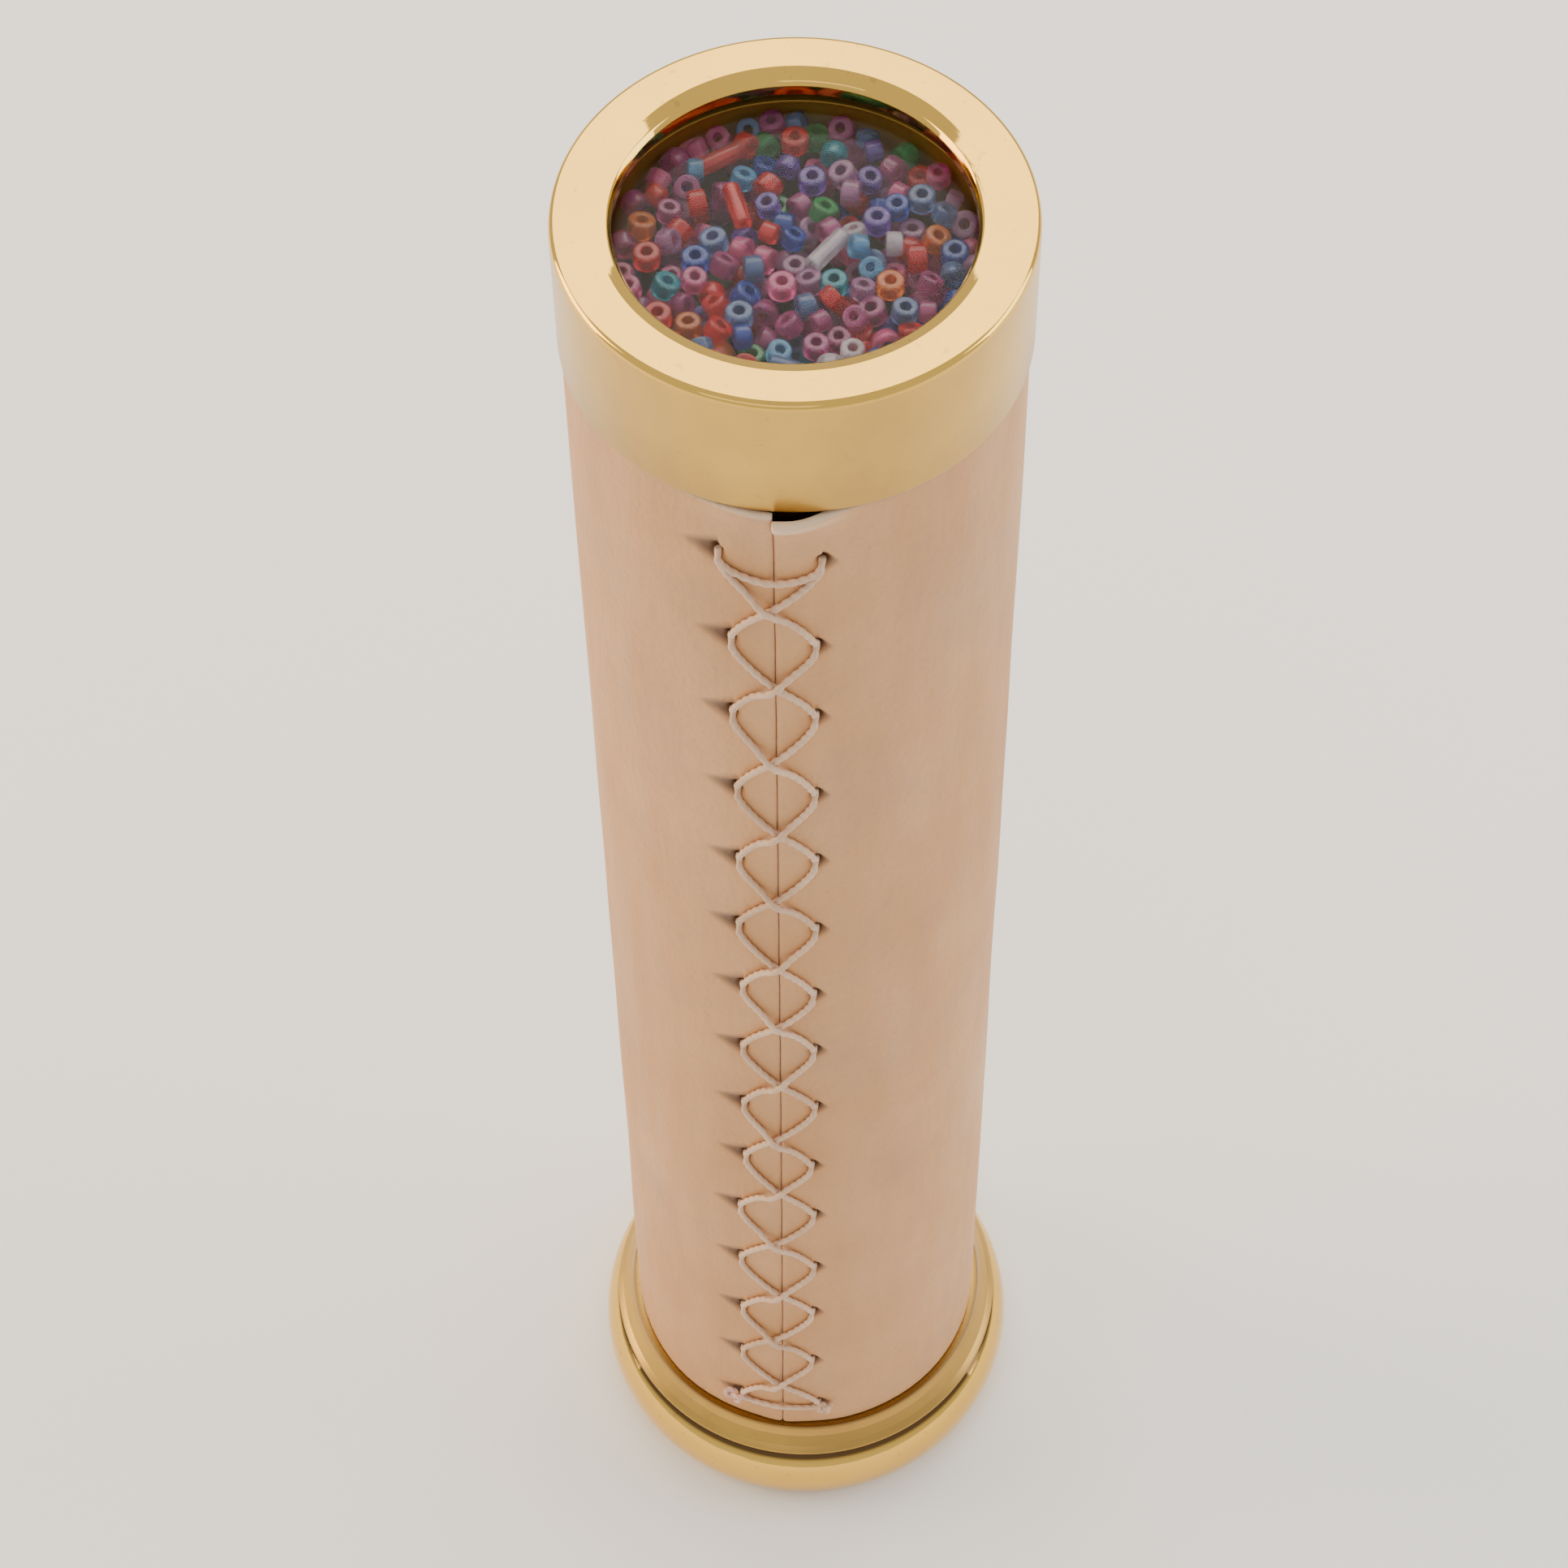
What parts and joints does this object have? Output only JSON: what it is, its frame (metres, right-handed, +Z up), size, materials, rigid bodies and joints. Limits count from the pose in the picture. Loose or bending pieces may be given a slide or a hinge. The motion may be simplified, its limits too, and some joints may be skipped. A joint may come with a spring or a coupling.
{
  "type": "kaleidoscope",
  "caption": "Brass kaleidoscope in a laced leather sleeve, with a turning object head that holds loose glass beads between two windows and a mirror triangle inside.",
  "frame": {"origin": "the middle of the face the kaleidoscope stands on, under its eyepiece", "axes": "+Z up along the barrel towards the bead window, -Y towards the laced seam"},
  "size_m": [0.049, 0.049, 0.205],
  "materials": {
    "polished_brass": "polished face and foot, satin sides",
    "plain_brass": "as turned, unpolished",
    "spring_steel": "plain spring wire",
    "leather": "natural undyed, matte with a faint sheen",
    "thread": "waxed twisted thread",
    "clear_glass": "clear and polished",
    "mirror_glass": "front-silvered inner face",
    "packing_foam": "open-cell foam",
    "binding_tape": "woven black tape",
    "black_card": "matte black",
    "gasket_rubber": "matte",
    "packed_beads": "many small clear coloured glass beads",
    "loose_beads": "clear coloured glass beads"
  },
  "bodies": {
    "barrel": {"eyepiece_cap": "polished_brass", "eye_lens": "clear_glass", "lens_retaining_ring": "plain_brass", "main_tube": "plain_brass", "mirror_strip_1": "mirror_glass", "mirror_strip_2": "mirror_glass", "mirror_strip_3": "mirror_glass", "packing_pad_lower_1": "packing_foam", "packing_pad_lower_2": "packing_foam", "packing_pad_lower_3": "packing_foam", "packing_pad_upper_1": "packing_foam", "packing_pad_upper_2": "packing_foam", "packing_pad_upper_3": "packing_foam", "mirror_band_lower": "binding_tape", "mirror_band_upper": "binding_tape", "rear_mask": "black_card", "front_mask": "black_card", "leather_sleeve": "leather", "lacing_thread": "thread", "thread_knot_left": "thread", "thread_knot_right": "thread"},
    "object_head": {"object_cap": "polished_brass", "window_gasket": "gasket_rubber", "outer_window": "clear_glass", "chamber_ring": "plain_brass", "inner_window": "clear_glass", "head_spigot": "plain_brass", "snap_ring": "spring_steel"},
    "packed_beads": {"bead_bed": "packed_beads"},
    "loose_beads": {"seed_bead_1": "loose_beads", "seed_bead_2": "loose_beads", "seed_bead_3": "loose_beads", "seed_bead_4": "loose_beads", "bugle_bead_5": "loose_beads", "seed_bead_6": "loose_beads", "seed_bead_7": "loose_beads", "seed_bead_8": "loose_beads", "seed_bead_9": "loose_beads", "bugle_bead_10": "loose_beads", "seed_bead_11": "loose_beads", "seed_bead_12": "loose_beads", "seed_bead_13": "loose_beads", "seed_bead_14": "loose_beads", "bugle_bead_15": "loose_beads", "seed_bead_16": "loose_beads", "seed_bead_17": "loose_beads", "seed_bead_18": "loose_beads", "seed_bead_19": "loose_beads", "bugle_bead_20": "loose_beads", "seed_bead_21": "loose_beads", "seed_bead_22": "loose_beads"}
  },
  "joints": [
    {"name": "head_turn", "type": "hinge", "parent": "barrel", "child": "object_head", "pos_m": [0, 0, 0.198], "axis": [0, 0, 1], "continuous": true},
    {"name": "bead_tumble", "type": "hinge", "parent": "object_head", "child": "packed_beads", "pos_m": [0, 0, 0.198], "axis": [0, 0, 1], "continuous": true},
    {"name": "bead_hop", "type": "slide", "parent": "packed_beads", "child": "loose_beads", "axis": [0, 0, 1], "range_m": [0, 0.0003]}
  ]
}
